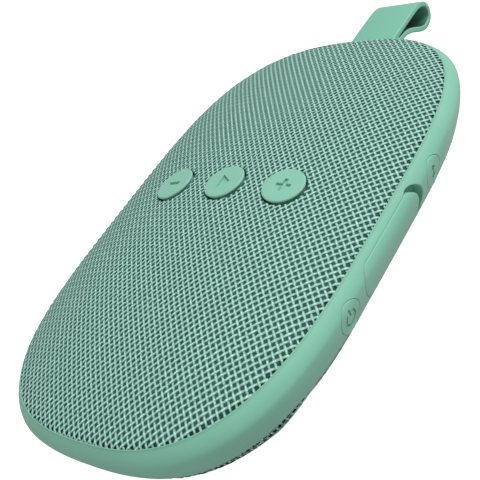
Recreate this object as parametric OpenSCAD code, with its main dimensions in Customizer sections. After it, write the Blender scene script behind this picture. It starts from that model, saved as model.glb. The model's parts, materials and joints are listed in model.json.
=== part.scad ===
// Palm-size portable bluetooth speaker lying on its back.
// +Z points out of the front cloth, +Y to the strap, +X to the side with the port cover and the two
// side buttons. The origin is on the resting plane, under the middle of the body.

/* [Body] */
// Length of the body along Y, without the strap
body_len = 119; // [118:0.5:120]
// Width of the body along X
body_w = 74; // [73.5:0.5:75]
// Fullness of the long sides, where 2 is an ellipse
side_exp = 2.62; // [2.5:0.02:2.8]
// Fullness of the two ends, where 2 is an ellipse
end_exp = 3.7; // [3.6:0.05:3.9]

/* [Cloth domes] */
// Height of the front cloth edge above the widest section
front_band = 3; // [2.9:0.05:3.1]
// How far the front cloth edge is set in from the widest outline
front_inset = 1.8; // [1.7:0.05:1.9]
// Rise of the front cloth from its edge to its crown
front_rise = 6.5; // [6.3:0.1:6.7]
// Depth of the rear cloth edge below the widest section
rear_band = 6.2; // [6.1:0.05:6.3]
// How far the rear cloth edge is set in from the widest outline
rear_inset = 2.2; // [2.1:0.05:2.3]
// Depth of the rear cloth from its edge to its crown
rear_rise = 18.8; // [18.7:0.05:19]
// How far the base pad stands below the crown of the rear cloth
pad_proud = 0.6; // [0.5:0.05:0.8]
// Thickness of the cloth skins
cloth_t = 0.8; // [0.6:0.05:0.8]

/* [Front buttons] */
// Radius of the three front buttons
button_r = 4.6; // [4.4:0.1:4.7]
// Distance between neighbouring button centres
button_pitch = 15; // [14.5:0.1:15.2]
// Distance of the button row from the middle of the body
button_y = 1.2; // [1:0.1:1.4]
// How far a button stands out of the cloth
button_proud = 0.8; // [0.7:0.05:0.9]

/* [Side controls] */
// Height of the side controls relative to the widest section
side_dz = -2.1; // [-2.1:0.05:-1.95]
// Radius of the power and pairing buttons
side_button_r = 3.2; // [3.1:0.05:3.25]
// Place of the power button along Y
power_y = -19.5; // [-19.7:0.1:-19.3]
// Place of the pairing button along Y
pairing_y = 17.5; // [17.3:0.1:17.7]
// Length of the port cover
cover_len = 23.6; // [23.4:0.1:23.8]
// Height of the port cover
cover_h = 7.4; // [7.3:0.05:7.4]
// Middle of the port cover along Y
cover_y = -1.8; // [-1.9:0.05:-1.7]
// Thickness of the port cover
cover_t = 1.8; // [1.6:0.1:1.9]

/* [Strap] */
// Width of the strap
strap_w = 12.8; // [12.5:0.1:13]
// Thickness of one layer of the strap
strap_t = 1.3; // [1.2:0.05:1.35]
// How far the strap reaches past the end of the body
strap_reach = 22.6; // [22:0.1:23]

/* [Sound] */
// Middle of the driver along Y
driver_y = -26.5; // [-26.6:0.1:-26.4]
// Middle of the passive radiator along Y
radiator_y = 28.5; // [28.4:0.1:28.7]
// Outer radius of the driver and radiator frames
frame_r = 20.5; // [20.3:0.1:20.6]

/* [Hidden] */

mint = "#8CCBB4";
cloth_green = "#6FA893";
shell_black = "#2B2F2E";
board_green = "#1E5B3C";
steel = "#B9BCC0";
rubber_grey = "#3A3D3C";

half_w = body_w / 2;
half_len = body_len / 2;
mid_z = pad_proud + rear_rise + rear_band;  // height of the widest section above the resting plane
curve_exp = 1.65;       // how fast the band turns in towards the cloth
front_m = 2.25;
front_q = 0.886;
rear_m = 3.2;
rear_q = 1.05;
ring_n = 64;            // points round every body outline
dome_rings = 9;
gap = 0.05;             // gap between pieces that lie on each other
wall = 1.6;

front_hx = half_w - front_inset;
front_hy = half_len - front_inset;
rear_hx = half_w - rear_inset;
rear_hy = half_len - rear_inset;

// All heights below are relative to the widest section, and each module lifts its piece by mid_z.
front_edge_z = front_band;
rear_edge_z = -rear_band;

// Rigid shells that the cloth is bonded to
grille_t = 1.4;
grille_rho = 0.955;
tub_t = 2;
tub_share = 0.97;        // size of the rear tub as a share of the rear cloth
inner_hx = half_w - 3.3;
inner_hy = half_len - 3.3;
baffle_t = 1.8;
baffle_z = -0.2;
split_z = -4.2;
seal_t = 0.6;
rim_z = 1.5;

// Band cross-section
band_inner = 3.2;
lip_h = 0.7;
band_top = front_band - 0.2;
band_low = -rear_band + 0.15;
shelf_top = band_top - lip_h;
shelf_low = band_low + 0.75;

side_z = side_dz;
frame_z = 0.2;          // underside of the driver and radiator flanges
flange_t = 1;
ear_r = 2.4;
ear_circle_r = 21.2;

hinge_y = 57.4;         // strap pin
hinge_z = -2.3;
pin_r = 0.7;
cover_hinge_y = -9.8;   // line on which the port cover folds

pad_hx = 10;
pad_hy = 18;
pad_t = 2.6;
button_board_z = 1.4;
board_z = -8.4;
board_top = board_z + 1;

// Heights that a cut runs between to pass right through the baffle and the walls
cut_low = -9;
cut_high = 7;

$fn = 48;

// ---------- shared geometry ----------

function sgn_pow(v, p) = sign(v) * pow(abs(v), p);

// Body outline with half-width hx and half-length hy
function outline(hx, hy) = [
    for (i = [0:ring_n - 1])
        let (t = 360 * i / ring_n)
            [hx * sgn_pow(cos(t), 2 / side_exp), hy * sgn_pow(sin(t), 2 / end_exp)]
];

// How far the band is set in at height dz from the widest section
function band_inset(dz) = dz > 0
    ? front_inset * pow(dz / front_band, curve_exp)
    : rear_inset * pow(-dz / rear_band, curve_exp);

function dome(rho, rise, m, q) = rise * pow(max(1 - pow(rho, m), 0), q);
function front_dome(rho) = front_edge_z + dome(rho, front_rise, front_m, front_q);
function rear_dome(rho) = rear_edge_z - dome(rho, rear_rise, rear_m, rear_q);
function rho_steps(rho_max) = [for (k = [1:dome_rings]) rho_max * sin(90 * k / dome_rings)];

// Height and tilt of the front cloth on the button row
function front_z(x) = front_dome(abs(x) / front_hx);
function front_tilt(x) = atan2(front_z(x - 0.1) - front_z(x + 0.1), 0.2);

function ring_faces(a, b) = [
    for (i = [0:ring_n - 1])
        let (j = (i + 1) % ring_n)
            each [[a + i, b + i, b + j], [a + i, b + j, a + j]]
];

// Solid through rings of [half-width, half-length, height], listed up the outside of the piece.
// A closed loft runs from the last ring back to the first and makes a hoop.
module loft(rings, closed = false) {
    last = len(rings) - 1;
    points = [for (r = rings) for (p = outline(r[0], r[1])) [p[0], p[1], r[2]]];
    sides = [for (k = [0:last - 1]) each ring_faces(k * ring_n, (k + 1) * ring_n)];
    lids = [[for (i = [0:ring_n - 1]) i], [for (i = [ring_n - 1:-1:0]) last * ring_n + i]];
    polyhedron(points, concat(sides, closed ? ring_faces(last * ring_n, 0) : lids), convexity = 6);
}

// Upright wall or plate with the body outline
module outline_plate(hx, hy, z0, z1) {
    translate([0, 0, z0]) linear_extrude(z1 - z0) polygon(outline(hx, hy));
}

module outline_wall(hx, hy, t, z0, z1) {
    translate([0, 0, z0])
        linear_extrude(z1 - z0)
            difference() {
                polygon(outline(hx, hy));
                polygon(outline(hx - t, hy - t));
            }
}

// Raises a piece from the design plane to its height above the resting plane
module lift() {
    translate([0, 0, mid_z]) children();
}

module box(low, high) {
    translate(low) cube(high - low);
}

// Extrudes a shape drawn in Y and Z along X
module along_x(x0, x1) {
    translate([x0, 0, 0]) rotate([90, 0, 90]) linear_extrude(x1 - x0) children();
}

module stadium(len, h) {
    square([len - h, h], center = true);
    for (s = [-1, 1]) translate([s * (len - h) / 2, 0]) circle(d = h);
}

module cover_shape(grow = 0) {
    translate([cover_y, side_z]) stadium(cover_len + 2 * grow, cover_h + 2 * grow);
}

module rod_x(x0, x1, y, z, r) {
    translate([x0, y, z]) rotate([0, 90, 0]) cylinder(r = r, h = x1 - x0);
}

module rod_z(x, y, z0, z1, r) {
    translate([x, y, z0]) cylinder(r = r, h = z1 - z0);
}

// Skin of the band, depth t, for the pieces that lie flush in it
module band_skin(t) {
    low = band_low + 0.2;
    high = shelf_top;
    steps = [for (k = [0:10]) low + (high - low) * k / 10];
    outside = [for (s = steps) [half_w - band_inset(s), half_len - band_inset(s), s]];
    inside = [for (k = [10:-1:0]) outside[k] - [t, t, 0]];
    loft(concat(outside, inside), closed = true);
}

// Round wire along a list of points
module wire(path, r) {
    sides = 8;
    last = len(path) - 1;
    points = [
        for (k = [0:last])
            let (
                ahead = path[min(k + 1, last)] - path[max(k - 1, 0)],
                along = ahead / norm(ahead),
                flat = cross(along, [0.3, 0.9, 0.31]),
                u = flat / norm(flat),
                v = cross(along, u)
            )
            for (i = [0:sides - 1])
                let (t = 360 * i / sides)
                    path[k] + r * (cos(t) * u + sin(t) * v)
    ];
    walls = [
        for (k = [0:last - 1])
            for (i = [0:sides - 1])
                let (a = k * sides + i, b = k * sides + (i + 1) % sides)
                    each [[a, a + sides, b + sides], [a, b + sides, b]]
    ];
    ends = [[for (i = [0:sides - 1]) i], [for (i = [sides - 1:-1:0]) last * sides + i]];
    polyhedron(points, concat(walls, ends), convexity = 6);
}

function bezier(p, t) =
    pow(1 - t, 3) * p[0] + 3 * pow(1 - t, 2) * t * p[1] + 3 * (1 - t) * t * t * p[2] + pow(t, 3) * p[3];
function bezier_points(p, n) = [for (k = [1:n]) bezier(p, k / n)];

// ---------- casing ----------

housing_screw_xy = [[21, -44], [-21, -44], [25.4, 11.6], [-25.4, 11.6], [21, 45], [-21, 45]];

// Puts its children on a front button's axis, with the cloth surface at height 0
module at_button(k) {
    x = k * button_pitch;
    translate([x, button_y, front_z(x)]) rotate([0, front_tilt(x), 0]) children();
}

module front_shell(drop, t, rho_max) {
    steps = rho_steps(rho_max);
    under = [for (r = steps) [front_hx * r, front_hy * r, front_dome(r) - drop - t]];
    over = [for (k = [dome_rings - 1:-1:0]) under[k] + [0, 0, t]];
    loft(concat(under, over));
}

module front_fabric() {
    lift() color(cloth_green)
        difference() {
            front_shell(0, cloth_t, 1);
            for (k = [-1:1]) at_button(k) translate([0, 0, -3]) cylinder(r = button_r + 0.2, h = 6);
        }
}

// Sound holes: one in the middle and two rings round it
sound_rings = [[1, 0], [6, 6.5], [12, 13]];

module front_grille() {
    lift() color(shell_black)
        difference() {
            front_shell(cloth_t + gap, grille_t, grille_rho);
            for (k = [-1:1]) at_button(k) translate([0, 0, -6]) cylinder(r = button_r + 0.3, h = 9);
            for (y = [driver_y, radiator_y])
                for (ring = sound_rings)
                    for (i = [0:ring[0] - 1])
                        translate([0, y, -1])
                            rotate([0, 0, 360 * i / ring[0]])
                                translate([ring[1], 0, 0])
                                    cylinder(r = 2.2, h = 12, $fn = 24);
            // notch over the port bay
            box([30.7, -15, 0], [40, 13, 9]);
        }
}

module front_housing() {
    lift() color(shell_black)
        difference() {
            union() {
                outline_plate(inner_hx, inner_hy, baffle_z - baffle_t, baffle_z);
                outline_wall(inner_hx, inner_hy, wall, split_z + seal_t / 2, rim_z);
                for (x = [-20, 20]) rod_z(x, button_y, baffle_z - 1, button_board_z, 2);
            }
            for (y = [driver_y, radiator_y]) {
                rod_z(0, y, cut_low, cut_high, 18.6);
                for (a = [45:90:315])
                    translate([0, y, 0]) rotate([0, 0, a]) rod_z(ear_circle_r, 0, cut_low, cut_high, 0.85);
            }
            for (p = housing_screw_xy) rod_z(p[0], p[1], cut_low, cut_high, 1.1);
            for (x = [-20, 20]) rod_z(x, button_y, cut_low, cut_high, 0.85);
            // slot for the flexible ribbon of the button board
            box([-23.8, -2.4, cut_low], [-22.8, 4.4, 0.2]);
            // room for the port and the side switches
            box([28, -23.4, cut_low], [inner_hx - wall + 0.1, 21.4, 0.2]);
            box([24, -9, cut_low], [29, 9, 0.2]);
            along_x(30, 40) cover_shape(0.9);
            for (y = [power_y, pairing_y]) rod_x(30, 40, y, side_z, 1.9);
            // window for the strap bracket
            box([-9.4, 50.5, cut_low], [9.4, 60, 0.2]);
        }
}

module side_band() {
    steps = [for (k = [0:8]) band_low + (band_top - band_low) * k / 8];
    outside = [for (s = steps) [band_inset(s), s]];
    inside = [
        [front_inset, band_top], [front_inset, shelf_top], [band_inner, shelf_top],
        [band_inner, shelf_low], [rear_inset, shelf_low], [rear_inset, band_low]
    ];
    rings = [for (p = concat(outside, inside)) [half_w - p[0], half_len - p[0], p[1]]];
    lift() color(mint)
        difference() {
            loft(rings, closed = true);
            along_x(30, 40) cover_shape(0.1);
            // finger notch at the end of the port cover
            rod_x(35.2, 40, cover_y + cover_len / 2 - 2.1, side_z, 3.9);
            for (y = [power_y, pairing_y]) {
                rod_x(34.9, 40, y, side_z, side_button_r + 0.08);
                rod_x(30, 40, y, side_z, 1.9);
            }
            // strap mouth, flared for the swing, and the pocket of its bracket
            box([-6.8, 54, hinge_z - 2.55], [6.8, 62, hinge_z + 2.55]);
            box([-9.2, 54, hinge_z - 1.9], [9.2, 58.5, hinge_z + 1.9]);
        }
}

// Bowl that follows the rear cloth, size times as wide and raised by up, with a straight rim to top_z
module tub_shape(size, up, top_z) {
    hx = rear_hx * size;
    hy = rear_hy * size;
    floor_rings = [for (r = rho_steps(1)) [hx * r, hy * r, rear_dome(r) + up]];
    loft(concat(floor_rings, [[hx, hy, top_z]]));
}

module tub_outer() {
    tub_shape(tub_share, cloth_t + gap, split_z - seal_t / 2);
}

module tub_inner() {
    tub_shape(tub_share - wall / rear_hx, cloth_t + gap + tub_t, split_z + 1);
}

board_post_xy = [[18, -7], [-18, -7], [18, 33], [-18, 33]];

module rear_housing() {
    lift() color(shell_black)
        difference() {
            union() {
                difference() {
                    tub_outer();
                    tub_inner();
                }
                intersection() {
                    tub_outer();
                    union() {
                        for (p = housing_screw_xy) rod_z(p[0], p[1], -24, split_z, 2.6);
                        for (p = board_post_xy) rod_z(p[0], p[1], -24, board_z, 2);
                    }
                }
                for (p = housing_screw_xy) rod_z(p[0], p[1], -5.8, baffle_z - baffle_t - gap, 2.6);
            }
            for (p = housing_screw_xy) rod_z(p[0], p[1], -8.8, cut_high, 1.05);
            for (p = board_post_xy) rod_z(p[0], p[1], -13.3, cut_high, 0.85);
            outline_plate(pad_hx + 0.1, pad_hy + 0.1, -mid_z - 1, -mid_z + pad_t + gap);
            box([28, -14.6, -6.6], [40, 12.6, cut_high]);
        }
}

module rear_fabric() {
    steps = rho_steps(1);
    under = [for (r = steps) [rear_hx * r, rear_hy * r, rear_dome(r)]];
    over = [for (k = [dome_rings - 1:-1:0]) under[k] + [0, 0, cloth_t]];
    lift() color(cloth_green)
        difference() {
            loft(concat(under, over));
            outline_plate(pad_hx + 0.1, pad_hy + 0.1, -mid_z - 1, -mid_z + 5);
            // relief under the port cover
            along_x(32, 40) cover_shape(0.3);
        }
}

module base_pad() {
    color(rubber_grey)
        union() {
            outline_plate(pad_hx - 0.4, pad_hy - 0.4, 0, 0.5);
            outline_plate(pad_hx, pad_hy, 0.4, pad_t);
        }
}

module housing_seal() {
    lift() color(rubber_grey)
        difference() {
            outline_wall(inner_hx - 0.3, inner_hy - 0.8, 0.8, split_z - seal_t / 2, split_z + seal_t / 2);
            box([28, -14.6, cut_low], [40, 12.6, cut_high]);
            box([-9.4, 50.5, cut_low], [9.4, 60, cut_high]);
        }
}

module pan_screw(head_r, head_t, shaft_r, shaft_len) {
    difference() {
        union() {
            cylinder(r = head_r, h = head_t);
            translate([0, 0, -shaft_len]) cylinder(r = shaft_r, h = shaft_len + 0.1);
        }
        for (a = [0, 90])
            rotate([0, 0, a]) translate([-head_r * 0.6, -0.2, head_t - 0.4]) cube([head_r * 1.2, 0.4, 1]);
    }
}

module housing_screws() {
    lift()
        color(steel)
            for (p = housing_screw_xy) translate([p[0], p[1], baffle_z]) pan_screw(1.9, 1.2, 1, 8);
}

// ---------- strap ----------

tip_y = half_len + strap_reach;
arm_z = -1.65;
low_arm_z = arm_z - strap_t;
join_y = 64.5;          // where the two arms run together into the tab
join_gap = 0.12;

// Middle line of the strap, drawn in Y and Z: out along the top arm, round the fold and back
strap_line = concat(
    [[join_y, arm_z]],
    bezier_points([[join_y, arm_z], [70, arm_z], [74.5, arm_z - 0.05], [77, arm_z - 0.25]], 7),
    bezier_points([[77, arm_z - 0.25], [79.8, arm_z - 0.6], [tip_y - 0.6, arm_z - 1.9],
                   [tip_y - 0.65, arm_z - 3.6]], 8),
    bezier_points([[tip_y - 0.65, arm_z - 3.6], [tip_y - 0.7, arm_z - 5.4], [80.2, arm_z - 6.3],
                   [78, arm_z - 6.3]], 8),
    bezier_points([[78, arm_z - 6.3], [75, arm_z - 6.3], [72.2, low_arm_z - 0.9],
                   [67.6, low_arm_z - 0.55]], 12),
    bezier_points([[67.6, low_arm_z - 0.55], [66.2, low_arm_z - 0.44], [65.6, low_arm_z - join_gap],
                   [join_y, low_arm_z - join_gap]], 5)
);

function line_normal(path, k) =
    let (d = path[min(k + 1, len(path) - 1)] - path[max(k - 1, 0)]) [-d[1], d[0]] / norm(d);
function line_side(path, s) = [for (k = [0:len(path) - 1]) path[k] + s * line_normal(path, k)];

module ribbon_shape(path, t) {
    far_side = line_side(path, -t / 2);
    polygon(concat(line_side(path, t / 2), [for (k = [len(path) - 1:-1:0]) far_side[k]]));
}

module strap_loop() {
    lift() color(mint)
        difference() {
            union() {
                along_x(-strap_w / 2, strap_w / 2)
                    union() {
                        ribbon_shape(strap_line, strap_t);
                        polygon([
                            [hinge_y, hinge_z + strap_t], [join_y + 0.4, hinge_z + strap_t],
                            [join_y + 0.4, hinge_z - strap_t - join_gap], [62, hinge_z - strap_t],
                            [hinge_y, hinge_z - strap_t]
                        ]);
                    }
                rod_x(-strap_w / 2, strap_w / 2, hinge_y, hinge_z, 1.7);
            }
            rod_x(-10, 10, hinge_y, hinge_z, pin_r + 0.05);
        }
}

module strap_pin() {
    lift() color(steel) rod_x(-8.9, 8.9, hinge_y, hinge_z, pin_r);
}

module strap_bracket() {
    lift() color(steel)
        difference() {
            union() {
                box([-9, 51.6, -3.8], [9, 52.8, -0.4]);
                for (s = [-1, 1])
                    translate([s * 7.9, 0, 0])
                        box([-0.8, 51.6, hinge_z - 1.6], [0.8, 58.2, hinge_z + 1.6]);
            }
            rod_x(-12, 12, hinge_y, hinge_z, pin_r);
        }
}

// ---------- front buttons ----------

// Button on its own axis, with the cloth surface at height 0 and the sign cut in the top
module front_button() {
    edge = 0.45;
    rim = [for (a = [0:15:90]) [button_r - edge + edge * cos(a), button_proud - edge + edge * sin(a)]];
    color(mint)
        difference() {
            rotate_extrude($fn = 64)
                polygon(concat(
                    [[0, -4.1], [1.4, -4.1], [1.4, -3.7], [5.4, -3.7], [5.4, -3.1], [button_r, -3.1]],
                    rim, [[0, button_proud]]
                ));
            translate([0, 0, button_proud - 0.35]) linear_extrude(1) children();
        }
}

module bar_sign() {
    square([3.5, 0.95], center = true);
}

module minus_button() {
    lift() at_button(-1) front_button() bar_sign();
}

module play_button() {
    lift() at_button(0) front_button() polygon([[-1.05, -1.85], [-1.05, 1.85], [1.45, 0]]);
}

module plus_button() {
    lift()
        at_button(1)
            front_button()
                union() {
                    bar_sign();
                    rotate(90) bar_sign();
                }
}

button_board_len = 44;
button_board_w = 11;

module button_mat() {
    lift() color(rubber_grey)
        union() {
            translate([0, button_y, button_board_z + 1 + gap])
                linear_extrude(0.4)
                    square([36.4, button_board_w], center = true);
            rod_z(0, button_y, 2.7, 4.65, 2.2);
            for (x = [-15.5, 15.5]) rod_z(x, button_y, 2.7, 3.7, 2.2);
        }
}

module button_board() {
    lift() color(board_green)
        translate([0, button_y, button_board_z])
            linear_extrude(1)
                difference() {
                    square([button_board_len, button_board_w], center = true);
                    for (x = [-20, 20]) translate([x, 0]) circle(r = 0.9);
                }
}

module button_board_screws() {
    lift()
        color(steel)
            for (x = [-20, 20]) translate([x, button_y, button_board_z + 1]) pan_screw(1.6, 0.9, 0.8, 3.6);
}

module button_flex() {
    lift() color("#B5782E")
        translate([0, 4, 0])
            rotate([90, 0, 0])
                linear_extrude(6)
                    polygon([
                        [-18.6, -7.35], [-23.4, -7.35], [-23.4, 2.65], [-21.8, 2.65], [-21.8, 2.45],
                        [-23.2, 2.45], [-23.2, -7.15], [-18.6, -7.15]
                    ]);
}

// ---------- side buttons ----------

module side_button(y) {
    lift() color(mint)
        union() {
            intersection() {
                band_skin(2.6);
                rod_x(35.4, 40, y, side_z, side_button_r - 0.02);
            }
            rod_x(31.9, 35.5, y, side_z, 1.6);
        }
}

module power_button() {
    side_button(power_y);
}

module pairing_button() {
    side_button(pairing_y);
}

module side_switch_boards() {
    lift() color(board_green)
        for (y = [power_y, pairing_y]) box([28.2, y - 3.5, side_z - 2.6], [29.2, y + 3.5, side_z + 2]);
}

module side_switches() {
    lift() color(steel)
        for (y = [power_y, pairing_y])
            union() {
                box([29.2, y - 2, side_z - 1.9], [30.9, y + 2, side_z + 1.9]);
                rod_x(30.8, 31.35, y, side_z, 1);
            }
}

// ---------- port ----------

module port_cover() {
    lift() color(mint)
        difference() {
            union() {
                intersection() {
                    band_skin(cover_t);
                    along_x(30, 40) cover_shape();
                }
                // sealing plug behind the skin
                along_x(33.3, 35.6)
                    translate([0.3, side_z])
                        difference() {
                            stadium(17, 4.6);
                            stadium(13, 3.6);
                        }
            }
            box([30, -20, cut_low], [40, cover_hinge_y + 0.1, cut_high]);
        }
}

module port_cover_anchor() {
    lift() color(mint)
        intersection() {
            union() {
                intersection() {
                    band_skin(cover_t);
                    along_x(30, 40) cover_shape();
                }
                box([33.2, -12.6, side_z - 2], [35.6, -10.4, side_z + 2]);
            }
            box([30, -20, cut_low], [40, cover_hinge_y - 0.1, cut_high]);
        }
}

usb_len = 8.94;
usb_h = 3.26;

module port_bay() {
    lift() color(shell_black)
        difference() {
            along_x(31, 33.6) cover_shape(0.75);
            along_x(32, 40) cover_shape(0.1);
            along_x(30, 40) translate([0, side_z]) stadium(usb_len + 0.1, usb_h + 0.1);
        }
}

module usb_port() {
    lift() color(steel)
        difference() {
            along_x(25.7, 33) translate([0, side_z]) stadium(usb_len, usb_h);
            along_x(26.3, 34) translate([0, side_z]) stadium(usb_len - 0.6, usb_h - 0.6);
        }
}

module usb_tongue() {
    lift() color("#202222")
        box([26.3, -3.3, side_z - 0.35], [32.3, 3.3, side_z + 0.35]);
}

module port_board() {
    top_z = side_z - usb_h / 2 - 0.02;
    lift() color(board_green) box([24.5, -8, top_z - 1], [30.9, 8, top_z]);
}

// ---------- driver ----------

module turned(y) {
    translate([0, y, 0]) rotate_extrude($fn = 96) children();
}

module at_ears(y) {
    for (a = [45:90:315])
        translate([0, y, 0]) rotate([0, 0, a]) translate([ear_circle_r, 0, 0]) children();
}

module flange_ears(y) {
    difference() {
        union() {
            rod_z(0, y, frame_z, frame_z + flange_t, frame_r);
            at_ears(y) rod_z(0, 0, frame_z, frame_z + flange_t, ear_r);
        }
        rod_z(0, y, cut_low, cut_high, 18);
        at_ears(y) rod_z(0, 0, cut_low, cut_high, 0.9);
    }
}

module driver_basket() {
    lift() color("#4A4E50")
        difference() {
            union() {
                flange_ears(driver_y);
                turned(driver_y)
                    polygon([
                        [18.3, frame_z + flange_t], [17.3, frame_z + flange_t], [17.3, -0.6],
                        [11.9, -9.1], [8.2, -9.1], [8.2, -10.3], [12.8, -10.3], [18.3, -1.6]
                    ]);
            }
            for (a = [0:60:300])
                translate([0, driver_y, 0]) rotate([0, 0, a]) box([11, -3.2, -8.6], [20, 3.2, -2.2]);
        }
}

module driver_magnet() {
    lift() color(steel)
        turned(driver_y)
            polygon([
                [0, -15.7], [10.8, -15.7], [10.8, -10.35], [7.4, -10.35], [7.4, -14.8], [5.7, -14.8],
                [5.7, -10.35], [0, -10.35]
            ]);
}

module frame_gasket(y) {
    lift() color(rubber_grey)
        translate([0, y, baffle_z])
            linear_extrude(frame_z - baffle_z)
                difference() {
                    circle(r = frame_r - 0.6);
                    circle(r = 18.7);
                }
}

module driver_gasket() {
    frame_gasket(driver_y);
}

module driver_spider() {
    waves = [for (k = [0:16]) [7 + 4.7 * k / 16, -8.6 + 0.35 * sin(k * 67.5)]];
    lift() color("#C9A34A")
        turned(driver_y)
            polygon(concat(waves, [for (k = [16:-1:0]) waves[k] + [0, 0.3]]));
}

// Half-round roll between two radii, with a flat glue rim on the outside
module roll_shape(r_in, r_out, t) {
    z = frame_z + flange_t;
    mid = (r_in + r_out) / 2;
    roll = (r_out - r_in) / 2;
    outer = [for (a = [0:15:180]) [mid + roll * cos(a), z + roll * sin(a)]];
    inner = [for (a = [180:-15:0]) [mid + (roll - t) * cos(a), z + (roll - t) * sin(a)]];
    polygon(concat(outer, inner));
    translate([r_out - t, z]) square([0.9, t]);
}

module driver_surround() {
    lift() color(rubber_grey) turned(driver_y) roll_shape(15.9, 19, 0.4);
}

module driver_cone() {
    lift() color("#303536")
        turned(driver_y)
            polygon([[7, -5.6], [16.2, 0.65], [16.2, 1.15], [15.6, 1.15], [7, -4.9]]);
}

module driver_dust_cap() {
    cap = [for (a = [0:6:30]) [14.4 * sin(a), -16.6 + 14.4 * cos(a)]];
    under = [for (a = [30:-6:0]) [14 * sin(a), -16.6 + 14 * cos(a)]];
    lift() color("#3C4243") turned(driver_y) polygon(concat(cap, under));
}

module driver_voice_coil() {
    lift() color("#B87333")
        turned(driver_y) translate([6.2, -13.4]) square([0.7, 8.2]);
}

module frame_screws(y) {
    lift()
        color(steel)
            at_ears(y) translate([0, 0, frame_z + flange_t]) pan_screw(1.5, 0.9, 0.8, 3.1);
}

module driver_screws() {
    frame_screws(driver_y);
}

// ---------- passive radiator ----------

module radiator_frame() {
    lift() color("#4A4E50")
        union() {
            flange_ears(radiator_y);
            turned(radiator_y) translate([17.3, -1.4]) square([1, 2.6]);
        }
}

module radiator_gasket() {
    frame_gasket(radiator_y);
}

module radiator_surround() {
    lift() color(rubber_grey) turned(radiator_y) roll_shape(13.7, 18.2, 0.5);
}

module radiator_plate() {
    lift() color(steel)
        turned(radiator_y)
            polygon([[0, -0.2], [12.8, -0.2], [12.8, 0.5], [14.1, 0.5], [14.1, 1.15], [0, 1.15]]);
}

module radiator_screws() {
    frame_screws(radiator_y);
}

// ---------- electronics ----------

module main_board() {
    lift() color(board_green)
        difference() {
            box([-20, -10, board_z], [20, 36, board_top]);
            for (p = board_post_xy) rod_z(p[0], p[1], cut_low, cut_high, 0.9);
        }
}

module main_board_screws() {
    lift()
        color(steel)
            for (p = board_post_xy) translate([p[0], p[1], board_top]) pan_screw(1.6, 0.9, 0.8, 4);
}

chip_boxes = [[-10, 6, 7, 7], [2, 2, 5, 5], [-12, 24, 5, 4], [8, 24, 6, 6]];

module main_board_chips() {
    lift() color("#1C1E20")
        for (c = chip_boxes) translate([c[0], c[1], board_top]) cube([c[2], c[3], 1]);
}

module bluetooth_module() {
    lift() color(steel) translate([-6, 16.5, board_top]) cube([12, 6, 1.6]);
}

module board_capacitors() {
    lift()
        color("#5A5F66")
            for (p = [[12, 3], [12, 10], [-14, 17]]) rod_z(p[0], p[1], board_top, board_top + 4, 2.4);
}

module board_connectors() {
    lift() color("#E9E4D2")
        for (p = [[-4, -9.5], [8, -9.5], [-3, 31]]) translate([p[0], p[1], board_top]) cube([6, 4, 3]);
}

battery_low = -17;
battery_top = -10.1;

module battery_cell() {
    lift() color("#3E6FA8")
        translate([0, 12, battery_low])
            linear_extrude(battery_top - battery_low)
                union() {
                    square([28, 37], center = true);
                    square([25, 40], center = true);
                    for (x = [-12.5, 12.5]) for (y = [-18.5, 18.5]) translate([x, y]) circle(r = 1.5);
                }
}

module battery_cradle() {
    lift() color(shell_black)
        translate([0, 12, -15.7])
            linear_extrude(5.3)
                difference() {
                    square([30.6, 42.6], center = true);
                    square([28.2, 40.2], center = true);
                    // gap for the leads
                    translate([0, 21]) square([4.4, 4], center = true);
                }
}

module battery_leads() {
    lift() color("#B03030")
        for (x = [-1, 1])
            wire([
                [x, 32.05, -12.8], [x, 34.6, -12.8], [x, 36.8, -11.9], [x, 37.9, -9.8], [x, 37.9, -7.8],
                [x, 37.3, -6.2], [x, 36.2, -5.6], [x, 35.1, -5.6]
            ], 0.45);
}

module driver_leads() {
    lift() color("#B03030")
        for (x = [-1, 1])
            wire([
                [x, -9.55, -5.6], [x, -10, -5.6], [x, -10.6, -6.1], [x, -10.9, -7.2], [x, -11.3, -8.6],
                [x, -12, -9.5], [x, -12.6, -9.9]
            ], 0.45);
}

front_fabric();
front_grille();
front_housing();
side_band();
rear_housing();
rear_fabric();
base_pad();
housing_seal();
housing_screws();
strap_loop();
strap_pin();
strap_bracket();
minus_button();
play_button();
plus_button();
button_mat();
button_board();
button_board_screws();
button_flex();
power_button();
pairing_button();
side_switch_boards();
side_switches();
port_cover();
port_cover_anchor();
port_bay();
usb_port();
usb_tongue();
port_board();
driver_basket();
driver_magnet();
driver_gasket();
driver_spider();
driver_surround();
driver_cone();
driver_dust_cap();
driver_voice_coil();
driver_screws();
radiator_frame();
radiator_gasket();
radiator_surround();
radiator_plate();
radiator_screws();
main_board();
main_board_screws();
main_board_chips();
bluetooth_module();
board_capacitors();
board_connectors();
battery_cell();
battery_cradle();
battery_leads();
driver_leads();
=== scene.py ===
import json
import math
from functools import partial

import bmesh
import bpy
import numpy as np
from mathutils import Matrix, Vector


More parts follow.
